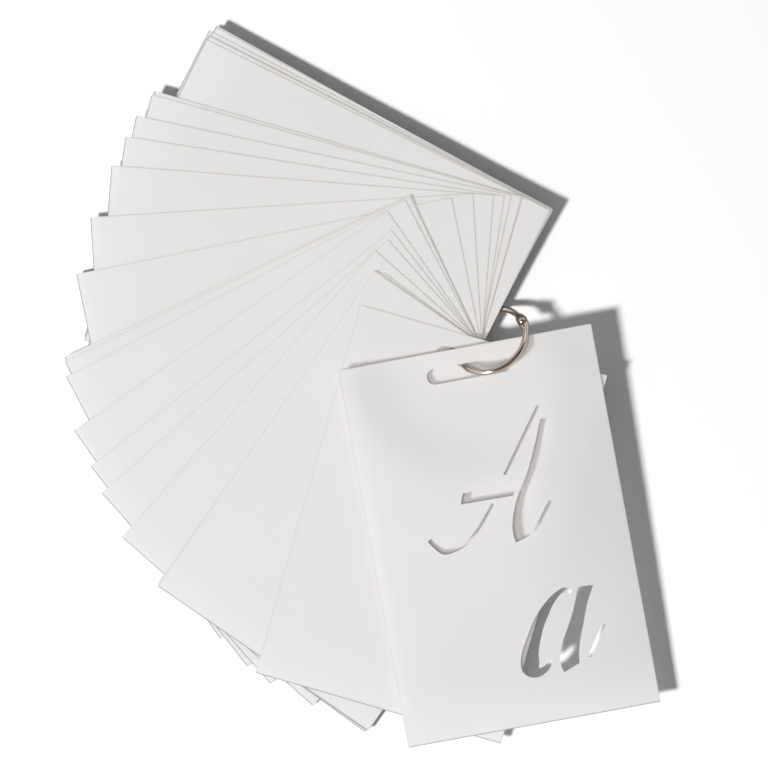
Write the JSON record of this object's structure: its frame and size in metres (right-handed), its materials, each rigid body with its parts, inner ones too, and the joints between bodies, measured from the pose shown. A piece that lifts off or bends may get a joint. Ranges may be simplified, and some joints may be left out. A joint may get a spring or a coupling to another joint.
{
  "type": "lettering stencil",
  "caption": "Fan of thin frosted plastic lettering stencil cards, each cut with a capital and a small letter, threaded by a slot on a hinged metal book ring.",
  "frame": {"origin": "centre of the fanned set's bounding box, on the table it lies on", "axes": "+X to the right and +Y up as the set is seen from above with the top card's letters upright, +Z up from the table"},
  "size_m": [0.2328, 0.282, 0.0206],
  "materials": {
    "sheet": "frosted translucent white polypropylene",
    "ring": "polished nickel plate, slightly warm"
  },
  "bodies": {
    "ring_lower": {"ring_half_lower": "ring"},
    "ring_upper": {"ring_half_upper": "ring", "hinge_rivet": "ring"},
    "card_a": {"card_a": "sheet"},
    "card_b": {"card_b": "sheet"},
    "card_c": {"card_c": "sheet"},
    "card_d": {"card_d": "sheet"},
    "card_e": {"card_e": "sheet"},
    "card_f": {"card_f": "sheet"},
    "card_g": {"card_g": "sheet"},
    "card_h": {"card_h": "sheet"},
    "card_i": {"card_i": "sheet"},
    "card_j": {"card_j": "sheet"},
    "card_k": {"card_k": "sheet"},
    "card_l": {"card_l": "sheet"},
    "card_m": {"card_m": "sheet"},
    "card_n": {"card_n": "sheet"},
    "card_o": {"card_o": "sheet"},
    "card_p": {"card_p": "sheet"},
    "card_q": {"card_q": "sheet"},
    "card_r": {"card_r": "sheet"},
    "card_s": {"card_s": "sheet"},
    "card_t": {"card_t": "sheet"},
    "card_u": {"card_u": "sheet"},
    "card_v": {"card_v": "sheet"},
    "card_w": {"card_w": "sheet"},
    "card_x": {"card_x": "sheet"},
    "card_y": {"card_y": "sheet"},
    "card_z": {"card_z": "sheet"}
  },
  "joints": [
    {"name": "ring_open", "type": "hinge", "parent": "ring_lower", "child": "ring_upper", "pos_m": [0.06271, 0.02522, 0.01162], "axis": [-0.3764, 0.5034, 0.7778], "range_deg": [0, 40]},
    {"name": "swing_a", "type": "hinge", "parent": "ring_upper", "child": "card_a", "pos_m": [0.04097, 0.00721, 0.01276], "axis": [-0.0351, -0.0365, 0.9987], "range_deg": [-83, 0]},
    {"name": "swing_b", "type": "hinge", "parent": "ring_upper", "child": "card_b", "pos_m": [0.03843, 0.00973, 0.0099], "axis": [-0.0351, -0.0365, 0.9987], "range_deg": [-81, 5]},
    {"name": "swing_c", "type": "hinge", "parent": "ring_upper", "child": "card_c", "pos_m": [0.03825, 0.01, 0.00964], "axis": [-0.0351, -0.0365, 0.9987], "range_deg": [-85, 38]},
    {"name": "swing_d", "type": "hinge", "parent": "ring_upper", "child": "card_d", "pos_m": [0.03809, 0.01027, 0.00938], "axis": [-0.0351, -0.0365, 0.9987], "range_deg": [-84, 38]},
    {"name": "swing_e", "type": "hinge", "parent": "ring_upper", "child": "card_e", "pos_m": [0.03794, 0.01055, 0.00913], "axis": [-0.0351, -0.0365, 0.9987], "range_deg": [-83, 39]},
    {"name": "swing_f", "type": "hinge", "parent": "ring_lower", "child": "card_f", "pos_m": [0.0378, 0.01084, 0.00887], "axis": [0.0351, 0.0365, -0.9987], "range_deg": [-44, 78]},
    {"name": "swing_g", "type": "hinge", "parent": "ring_lower", "child": "card_g", "pos_m": [0.03766, 0.01113, 0.00862], "axis": [0.0351, 0.0365, -0.9987], "range_deg": [-51, 71]},
    {"name": "swing_h", "type": "hinge", "parent": "ring_lower", "child": "card_h", "pos_m": [0.03754, 0.01143, 0.00837], "axis": [0.0351, 0.0365, -0.9987], "range_deg": [-55, 67]},
    {"name": "swing_i", "type": "hinge", "parent": "ring_lower", "child": "card_i", "pos_m": [0.03743, 0.01174, 0.00811], "axis": [0.0351, 0.0365, -0.9987], "range_deg": [-58, 64]},
    {"name": "swing_j", "type": "hinge", "parent": "ring_lower", "child": "card_j", "pos_m": [0.03733, 0.01205, 0.00786], "axis": [0.0351, 0.0365, -0.9987], "range_deg": [-66, 56]},
    {"name": "swing_k", "type": "hinge", "parent": "ring_lower", "child": "card_k", "pos_m": [0.03723, 0.01237, 0.00761], "axis": [0.0351, 0.0365, -0.9987], "range_deg": [-29, 54]},
    {"name": "swing_l", "type": "hinge", "parent": "ring_lower", "child": "card_l", "pos_m": [0.03715, 0.0127, 0.00736], "axis": [0.0351, 0.0365, -0.9987], "range_deg": [-28, 53]},
    {"name": "swing_m", "type": "hinge", "parent": "ring_lower", "child": "card_m", "pos_m": [0.03708, 0.01303, 0.00711], "axis": [0.0351, 0.0365, -0.9987], "range_deg": [-84, 39]},
    {"name": "swing_n", "type": "hinge", "parent": "ring_lower", "child": "card_n", "pos_m": [0.03702, 0.01337, 0.00686], "axis": [0.0351, 0.0365, -0.9987], "range_deg": [-92, 31]},
    {"name": "swing_o", "type": "hinge", "parent": "ring_lower", "child": "card_o", "pos_m": [0.03697, 0.01372, 0.00661], "axis": [0.0351, 0.0365, -0.9987], "range_deg": [-100, 24]},
    {"name": "swing_p", "type": "hinge", "parent": "ring_lower", "child": "card_p", "pos_m": [0.03693, 0.01408, 0.00636], "axis": [0.0351, 0.0365, -0.9987], "range_deg": [-106, 20]},
    {"name": "swing_q", "type": "hinge", "parent": "ring_lower", "child": "card_q", "pos_m": [0.0369, 0.01444, 0.00611], "axis": [0.0351, 0.0365, -0.9987], "range_deg": [-78, 18]},
    {"name": "swing_r", "type": "hinge", "parent": "ring_lower", "child": "card_r", "pos_m": [0.03689, 0.01481, 0.00586], "axis": [0.0351, 0.0365, -0.9987], "range_deg": [-102, 14]},
    {"name": "swing_s", "type": "hinge", "parent": "ring_lower", "child": "card_s", "pos_m": [0.03689, 0.01519, 0.00562], "axis": [0.0351, 0.0365, -0.9987], "range_deg": [-94, 13]},
    {"name": "swing_t", "type": "hinge", "parent": "ring_lower", "child": "card_t", "pos_m": [0.0369, 0.01558, 0.00537], "axis": [0.0351, 0.0365, -0.9987], "range_deg": [-123, 1]},
    {"name": "swing_u", "type": "hinge", "parent": "ring_lower", "child": "card_u", "pos_m": [0.03693, 0.01598, 0.00513], "axis": [0.0351, 0.0365, -0.9987], "range_deg": [-114, 0]},
    {"name": "swing_v", "type": "hinge", "parent": "ring_lower", "child": "card_v", "pos_m": [0.03697, 0.01639, 0.00488], "axis": [0.0351, 0.0365, -0.9987], "range_deg": [-116, 0]},
    {"name": "swing_w", "type": "hinge", "parent": "ring_lower", "child": "card_w", "pos_m": [0.03703, 0.01681, 0.00464], "axis": [0.0351, 0.0365, -0.9987], "range_deg": [-118, 0]},
    {"name": "swing_x", "type": "hinge", "parent": "ring_lower", "child": "card_x", "pos_m": [0.0371, 0.01724, 0.0044], "axis": [0.0351, 0.0365, -0.9987], "range_deg": [-55, 0]},
    {"name": "swing_y", "type": "hinge", "parent": "ring_lower", "child": "card_y", "pos_m": [0.03719, 0.01768, 0.00416], "axis": [0.0351, 0.0365, -0.9987], "range_deg": [-33, 0]},
    {"name": "swing_z", "type": "hinge", "parent": "ring_lower", "child": "card_z", "pos_m": [0.0373, 0.01813, 0.00392], "axis": [0.0351, 0.0365, -0.9987], "range_deg": [-32, 0]}
  ]
}
